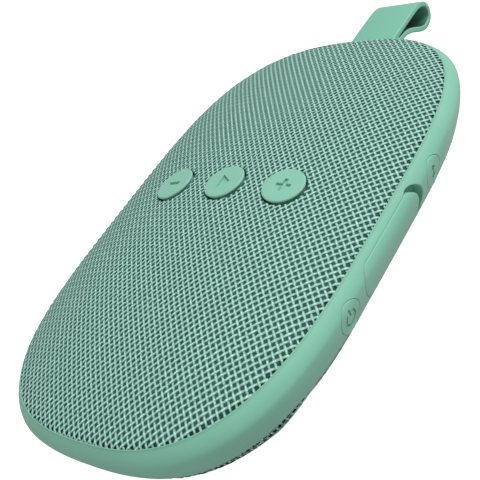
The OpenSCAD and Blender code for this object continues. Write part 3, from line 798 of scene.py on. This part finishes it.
def strap_curve():
    """The strap's loops as a filled curve that is drawn across its width, with rounded edges."""
    edge = 0.32
    curve = bpy.data.curves.new("strap_outline", "CURVE")
    curve.dimensions = "2D"
    curve.fill_mode = "BOTH"
    for loop in strap_outlines():
        spline = curve.splines.new("POLY")
        spline.points.add(len(loop) - 1)
        places = np.column_stack([loop * MM, np.zeros(len(loop)), np.ones(len(loop))])
        spline.points.foreach_set("co", places.ravel())
        spline.use_cyclic_u = True
    curve.extrude = (STRAP_W / 2 - edge) * MM
    curve.bevel_depth = edge * MM
    curve.bevel_resolution = 3
    curve.offset = -edge * MM
    return curve


def make_strap():
    drawn = bpy.data.objects.new("strap_outline", strap_curve())
    bpy.context.scene.collection.objects.link(drawn)
    bpy.context.view_layer.update()
    mesh = bpy.data.meshes.new_from_object(drawn.evaluated_get(bpy.context.evaluated_depsgraph_get()))
    bpy.data.objects.remove(drawn)
    piece = bpy.data.objects.new("carry_strap", mesh)
    bpy.context.scene.collection.objects.link(piece)
    stand_up = Matrix(((0, 0, 1, 0), (1, 0, 0, 0), (0, 1, 0, MID_Z * MM), (0, 0, 0, 1)))
    mesh.transform(stand_up)
    work = bmesh.new()
    work.from_mesh(mesh)
    bmesh.ops.remove_doubles(work, verts=work.verts, dist=1e-6)
    work.to_mesh(mesh)
    work.free()
    shade_gap(mesh, strap_outlines()[1])
    return face_out(piece)


def shade_gap(mesh, gap):
    """Writes the hollow attribute, a mask of painted shade: 1 on the walls of the gap, less towards the fold and 0
    elsewhere.
    """
    near, fade_end, fade, least = 0.2, 81.2, 4, 0.25
    places = np.empty(len(mesh.vertices) * 3)
    mesh.vertices.foreach_get("co", places)
    x, y, z = (places.reshape(-1, 3) / MM - [0, 0, MID_Z]).T
    distance = np.hypot(y[:, None] - gap[:, 0], z[:, None] - gap[:, 1]).min(axis=1)
    on_wall = (distance < near) & (np.abs(x) < STRAP_W / 2 - near)
    # painted shade inside the strap's loop, fading out towards its fold
    add_attribute(mesh, "hollow", on_wall * np.clip((fade_end - y) / fade, least, 1))


# ---------- materials ----------

BAND_GREEN = (0.241, 0.588, 0.442)
BUTTON_GREEN = (0.265, 0.610, 0.465)
STRAP_GREEN = (0.218, 0.586, 0.430)
YARN_GREEN = (0.54, 0.91, 0.80)
WEFT_GREEN = (0.53, 0.90, 0.79)
# painted shade on the undersides and in the depths of the yarns
PAINTED_SHADE_GREEN = (0.06, 0.18, 0.135)
# the backing's own dark green, made darker as painted shade for the depth of the mesh's holes
SCRIM_AND_SHADE_GREEN = (0.034, 0.116, 0.086)

# A noise texture's values are mostly between these two.
NOISE_LOW, NOISE_HIGH = 0.3, 0.7


def new_material(name, roughness, metallic=0.0):
    material = bpy.data.materials.new(name)
    material.use_nodes = True
    shader = material.node_tree.nodes["Principled BSDF"]
    shader.inputs["Roughness"].default_value = roughness
    shader.inputs["Metallic"].default_value = metallic
    return material, shader


def place_node(material):
    return material.node_tree.nodes.new("ShaderNodeTexCoord").outputs["Object"]


def noise(material, scale_mm, detail=3.0, stretch=None):
    """Noise whose grains are about scale_mm wide, and longer along an axis where stretch says so."""
    tree = material.node_tree
    source = place_node(material)
    if stretch:
        mapping = tree.nodes.new("ShaderNodeMapping")
        mapping.inputs["Scale"].default_value = stretch
        tree.links.new(source, mapping.inputs["Vector"])
        source = mapping.outputs["Vector"]
    texture = tree.nodes.new("ShaderNodeTexNoise")
    texture.inputs["Scale"].default_value = 1 / (scale_mm * MM)
    texture.inputs["Detail"].default_value = detail
    tree.links.new(source, texture.inputs["Vector"])
    return texture.outputs["Fac"]


def colour_ramp(material, factor, stops):
    """Colour that goes through the stops, (position, colour) each, as the factor rises."""
    tree = material.node_tree
    ramp = tree.nodes.new("ShaderNodeValToRGB")
    elements = ramp.color_ramp.elements
    for element, (position, colour) in zip(elements, (stops[0], stops[-1])):
        element.position = position
        element.color = (*colour, 1)
    for position, colour in stops[1:-1]:
        elements.new(position).color = (*colour, 1)
    tree.links.new(factor, ramp.inputs["Fac"])
    return ramp.outputs["Color"]


def spread_colour(material, shader, factor, dark, light, low=NOISE_LOW, high=NOISE_HIGH):
    """Base colour that goes from dark to light as the factor goes from low to high."""
    colour = colour_ramp(material, factor, [(low, dark), (high, light)])
    material.node_tree.links.new(colour, shader.inputs["Base Color"])


def spread(material, noise_value, low, high):
    """A noise's value, spread over low to high."""
    tree = material.node_tree
    ranged = tree.nodes.new("ShaderNodeMapRange")
    ranged.inputs["From Min"].default_value = NOISE_LOW
    ranged.inputs["From Max"].default_value = NOISE_HIGH
    ranged.inputs["To Min"].default_value = low
    ranged.inputs["To Max"].default_value = high
    tree.links.new(noise_value, ranged.inputs["Value"])
    return ranged.outputs["Result"]


def spread_roughness(material, shader, noise_value, low, high):
    material.node_tree.links.new(spread(material, noise_value, low, high), shader.inputs["Roughness"])


def attribute_value(material, name):
    node = material.node_tree.nodes.new("ShaderNodeAttribute")
    node.attribute_name = name
    return node.outputs["Fac"]


def bump(material, shader, factor, height_mm, strength=1.0):
    tree = material.node_tree
    node = tree.nodes.new("ShaderNodeBump")
    node.inputs["Strength"].default_value = strength
    node.inputs["Distance"].default_value = height_mm * MM
    tree.links.new(factor, node.inputs["Height"])
    tree.links.new(node.outputs["Normal"], shader.inputs["Normal"])


def tinted(colour, share):
    return tuple(min(c * share, 1.0) for c in colour)


def soft_touch(name, colour, roughness):
    """Satin silicone with a fine moulded grain and slightly uneven tone."""
    material, shader = new_material(name, roughness)
    shader.inputs["Sheen Weight"].default_value = 0.15
    shader.inputs["Sheen Roughness"].default_value = 0.5
    spread_colour(material, shader, noise(material, 14), tinted(colour, 0.975), tinted(colour, 1.025))
    spread_roughness(material, shader, noise(material, 3), roughness - 0.04, roughness + 0.04)
    bump(material, shader, noise(material, 0.35, 2), 0.004)
    return material


def paint_gap_shade(material, colour):
    """Paints shade into a material's colour where the mesh's hollow attribute is 1."""
    first_colour, second_colour, mixed_colour = 6, 7, 2
    tree = material.node_tree
    base = tree.nodes["Principled BSDF"].inputs["Base Color"]
    mixed = tree.nodes.new("ShaderNodeMix")
    mixed.data_type = "RGBA"
    # near-black copy of the colour: the painted shade
    mixed.inputs[second_colour].default_value = (*tinted(colour, 0.12), 1)
    tree.links.new(attribute_value(material, "hollow"), mixed.inputs["Factor"])
    tree.links.new(base.links[0].from_socket, mixed.inputs[first_colour])
    tree.links.new(mixed.outputs[mixed_colour], base)


def yarn(name, colour, sheen):
    """Spun yarn: bright on top of the cloth and dark in its depth as painted light and shade, uneven in tone, with
    fine fibres.
    """
    material, shader = new_material(name, 0.75)
    shader.inputs["Specular IOR Level"].default_value = 0.2
    shader.inputs["Sheen Weight"].default_value = sheen
    shader.inputs["Sheen Roughness"].default_value = 0.35
    tree = material.node_tree
    between = tuple((c + d) / 2 for c, d in zip(colour, PAINTED_SHADE_GREEN))
    # painted shade in the yarn's depth, blending to its own colour on the lit top
    stops = [(0.4, PAINTED_SHADE_GREEN), (0.7, between), (0.95, colour)]
    scaled = tree.nodes.new("ShaderNodeVectorMath")
    scaled.operation = "SCALE"
    tree.links.new(colour_ramp(material, attribute_value(material, "crown"), stops), scaled.inputs[0])
    tree.links.new(spread(material, noise(material, 0.3, 4), 0.62, 1.3), scaled.inputs["Scale"])
    tree.links.new(scaled.outputs["Vector"], shader.inputs["Base Color"])
    bump(material, shader, noise(material, 0.12, 2), 0.02, 0.6)
    return material


def scrim_cloth(name, colour):
    """Dull backing cloth."""
    material, shader = new_material(name, 0.95)
    shader.inputs["Specular IOR Level"].default_value = 0.1
    spread_colour(material, shader, noise(material, 0.8, 2), tinted(colour, 0.8), tinted(colour, 1.2))
    bump(material, shader, noise(material, 0.2, 2), 0.03)
    return material


def matte_rubber(name, colour):
    material, shader = new_material(name, 0.8)
    spread_colour(material, shader, noise(material, 6), tinted(colour, 0.85), tinted(colour, 1.2))
    bump(material, shader, noise(material, 0.3, 3), 0.02)
    return material


def moulded_plastic(name, colour, roughness=0.5, grain=0.4):
    material, shader = new_material(name, roughness)
    spread_colour(material, shader, noise(material, 8), tinted(colour, 0.9), tinted(colour, 1.12))
    spread_roughness(material, shader, noise(material, 2), roughness - 0.06, roughness + 0.06)
    bump(material, shader, noise(material, grain, 2), 0.012)
    return material


def metal(name, colour, roughness=0.32):
    """Metal with short scratches along one axis."""
    stretch = (1, 1, 8)
    dark, light = tinted(colour, 0.88), tinted(colour, 1.08)
    material, shader = new_material(name, roughness, 1.0)
    spread_colour(material, shader, noise(material, 1.5, 4, stretch), dark, light)
    scratches = noise(material, 0.8, 4, stretch)
    spread_roughness(material, shader, scratches, roughness - 0.08, roughness + 0.1)
    bump(material, shader, noise(material, 0.15, 2, stretch), 0.004)
    return material


def circuit_board(name, colour):
    """Solder mask with lighter tracks in a right-angled pattern."""
    material, shader = new_material(name, 0.35)
    tree = material.node_tree
    cells = tree.nodes.new("ShaderNodeTexVoronoi")
    cells.distance = "CHEBYCHEV"
    cells.feature = "F1"
    cells.inputs["Scale"].default_value = 1 / (1.6 * MM)
    tree.links.new(place_node(material), cells.inputs["Vector"])
    tracks = cells.outputs["Distance"]
    spread_colour(material, shader, tracks, tinted(colour, 0.8), tinted(colour, 2.0), 0.42, 0.5)
    bump(material, shader, tracks, 0.03, 0.4)
    return material


def bands(material, width_mm, direction="X"):
    """Even stripes across one direction."""
    tree = material.node_tree
    wave = tree.nodes.new("ShaderNodeTexWave")
    wave.bands_direction = direction
    wave.inputs["Scale"].default_value = 1 / (width_mm * MM)
    tree.links.new(place_node(material), wave.inputs["Vector"])
    return wave.outputs["Fac"]


def spider_cloth(name, colour):
    """Coarse resin-dipped cloth."""
    material, shader = new_material(name, 0.75)
    weave = bands(material, 2.2)
    spread_colour(material, shader, weave, tinted(colour, 0.7), tinted(colour, 1.2), 0.2, 0.8)
    bump(material, shader, weave, 0.05)
    return material


def coil_wire(name, colour):
    """Fine turns of wire, one above the other."""
    material, shader = new_material(name, 0.3, 1.0)
    turns = bands(material, 1.2, "Z")
    spread_colour(material, shader, turns, tinted(colour, 0.5), tinted(colour, 1.15), 0.1, 0.8)
    bump(material, shader, turns, 0.08)
    return material


def inner_materials():
    """Material of each slot that carried-over CAD nodes use, from the record's colours."""
    colour = RECORD_COLOURS
    made = {
        "circuit_board": circuit_board("circuit_board", colour["circuit_board"]),
        "spider_cloth": spider_cloth("spider_cloth", colour["spider_cloth"]),
        "coil_copper": coil_wire("coil_copper", colour["coil_copper"]),
        "dark_rubber": matte_rubber("dark_rubber", colour["dark_rubber"]),
        "cone_paper": matte_rubber("cone_paper", colour["cone_paper"]),
        "lead_insulation": moulded_plastic("lead_insulation", colour["lead_insulation"], 0.45),
        "flex_film": moulded_plastic("flex_film", colour["flex_film"], 0.25, 1.5),
        "cell_wrap": moulded_plastic("cell_wrap", colour["cell_wrap"], 0.3, 3.0),
    }
    for slot in ("shell_plastic", "chip_plastic", "connector_plastic"):
        made[slot] = moulded_plastic(slot, colour[slot])
    for slot in ("screw_steel", "plated_shell", "magnet_steel"):
        made[slot] = metal(slot, colour[slot])
    made["frame_metal"] = metal("frame_metal", colour["frame_metal"], 0.45)
    return made


def wear(piece, material, body=None):
    """Gives a piece its material and slot, and the body it rides on if one is given."""
    piece.data.materials.clear()
    piece.data.materials.append(material)
    if body:
        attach(piece, body)


# ---------- building the object ----------

band_material = soft_touch("band_silicone", BAND_GREEN, 0.5)
button_material = soft_touch("button_silicone", BUTTON_GREEN, 0.46)
strap_material = soft_touch("strap_silicone", STRAP_GREEN, 0.4)
# painted shade on the walls inside the strap's loop
paint_gap_shade(strap_material, STRAP_GREEN)
rubber = matte_rubber("pad_rubber", RECORD_COLOURS["dark_rubber"])
warp_material = yarn("warp_yarn", YARN_GREEN, 0.25)
weft_material = yarn("weft_yarn", WEFT_GREEN, 0.15)
scrim_material = scrim_cloth("scrim", SCRIM_AND_SHADE_GREEN)


def build_band():
    piece = make_band()
    wear(piece, band_material, "housing")
    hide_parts("side_band")


def build_side_controls():
    for make, node, body in (
        (make_power_button, "power_button", "power_key"),
        (make_pairing_button, "pairing_button", "pairing_key"),
    ):
        piece = make()
        wear(piece, band_material, body)
        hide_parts(node)
    cover = make_port_cover()
    wear(cover, band_material)
    x, height = JOINTS["port_cover_fold"]["pos_m"][0], (MID_Z + SIDE_Z) * MM
    start, end = ((x, (COVER_FOLD_Y + aside) * MM, height) for aside in (-1.0, 1.2))
    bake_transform(cover)
    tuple(start)
    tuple(end)
    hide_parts("port_cover", "port_cover_anchor")


def build_front_buttons():
    for k, sign in ((-1, "minus"), (0, "play"), (1, "plus")):
        piece = front_button(f"{sign}_button_cap", k, sign_outlines()[sign])
        wear(piece, button_material, f"{sign}_key")
        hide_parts(f"{sign}_button")


def build_cloth(side, plan, scrim, node, outward):
    """Two sets of yarns and a backing cloth. The backing stands for the whole sheet."""
    warp = make_yarns(f"{side}_cloth_warp", plan, STEP_A, STEP_B, outward, **WARP)
    weft = make_yarns(f"{side}_cloth_weft", plan, STEP_B, STEP_A, outward, **WEFT)
    wear(warp, warp_material, "housing")
    wear(weft, weft_material, "housing")
    wear(scrim, scrim_material, "housing")
    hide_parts(node)


def build_strap():
    piece = make_strap()
    wear(piece, strap_material)
    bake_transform(piece)
    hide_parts("strap_loop")


def build_base_pad():
    piece = make_base_pad()
    wear(piece, rubber, "housing")
    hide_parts("base_pad")


def dress_cad_nodes():
    """Every CAD node that still shows gets the procedural material of its slot."""
    materials = inner_materials()
    slots = {s["node"]: s["material_slot"] for s in frame["record"]["subparts"]}
    for name, node in frame["nodes"].items():
        if node.hide_render:
            continue
        node.data.materials.clear()
        node.data.materials.append(materials[slots[name]])


build_band()
build_side_controls()
build_front_buttons()
build_cloth(
    "front", FrontPlan(), make_front_scrim(), "front_fabric", 1
)
build_cloth(
    "rear", RearPlan(), make_rear_scrim(), "rear_fabric", -1
)
build_strap()
build_base_pad()
dress_cad_nodes()


# ---------- floor, light and camera ----------

def make_floor():
    half_size, glow = 6.0, 0.95
    mesh = bpy.data.meshes.new("floor")
    corners = [(half_size * x, half_size * y, 0) for x, y in ((-1, -1), (1, -1), (1, 1), (-1, 1))]
    mesh.from_pydata(corners, [], [(0, 1, 2, 3)])
    floor = bpy.data.objects.new("floor", mesh)
    bpy.context.scene.collection.objects.link(floor)
    material, shader = new_material("floor_white", 0.9)
    shader.inputs["Base Color"].default_value = (0.5, 0.5, 0.5, 1)
    shader.inputs["Specular IOR Level"].default_value = 0.0
    shader.inputs["Emission Color"].default_value = (1, 1, 1, 1)
    shader.inputs["Emission Strength"].default_value = glow
    mesh.materials.append(material)
    # the floor's own glow keeps it pale, and lights nothing but the floor
    lit = bpy.data.collections.new("lit_by_floor")
    lit.objects.link(floor)
    floor.light_linking.receiver_collection = lit


def make_light():
    """Even studio light, a wide key light from above and a weak fill light from the -Y end."""
    world = bpy.data.worlds.new("studio")
    world.use_nodes = True
    background = world.node_tree.nodes["Background"]
    background.inputs["Color"].default_value = (1, 1, 1, 1)
    background.inputs["Strength"].default_value = 0.30
    bpy.context.scene.world = world
    for name, energy, angle, towards in (
        ("key_light", 2.45, 50, (0.40, 0.52, 0.75)),
        ("fill_light", 0.42, 60, (-0.25, -0.85, 0.45)),
    ):
        lamp = bpy.data.lights.new(name, "SUN")
        lamp.energy = energy
        lamp.angle = math.radians(angle)
        light = bpy.data.objects.new(name, lamp)
        bpy.context.scene.collection.objects.link(light)
        light.rotation_euler = Vector(towards).to_track_quat("Z", "Y").to_euler()


def make_camera():
    """Camera at a place in millimetres, which looks back along an azimuth and an elevation."""
    place = Vector((123.156, -94.464, 101.689 + MID_Z)) * MM
    azimuth, elevation, roll = (math.radians(v) for v in (53.567, 34.161, 33.200))
    data = bpy.data.cameras.new("camera")
    data.lens = 66.34
    data.sensor_width = 36
    data.clip_start = 0.01
    camera = bpy.data.objects.new("camera", data)
    bpy.context.scene.collection.objects.link(camera)
    level = Vector((math.cos(azimuth), math.sin(azimuth), 0))
    away = Vector((math.sin(azimuth), -math.cos(azimuth), 0))
    back = away * math.cos(elevation) + Vector((0, 0, math.sin(elevation)))
    up = back.cross(level)
    right = level * math.cos(roll) - up * math.sin(roll)
    turn = Matrix((right, back.cross(right), back)).transposed()
    camera.matrix_world = Matrix.Translation(place) @ turn.to_4x4()
    bpy.context.scene.camera = camera


make_floor()
make_light()
make_camera()
bpy.context.scene.view_settings.view_transform = "Standard"
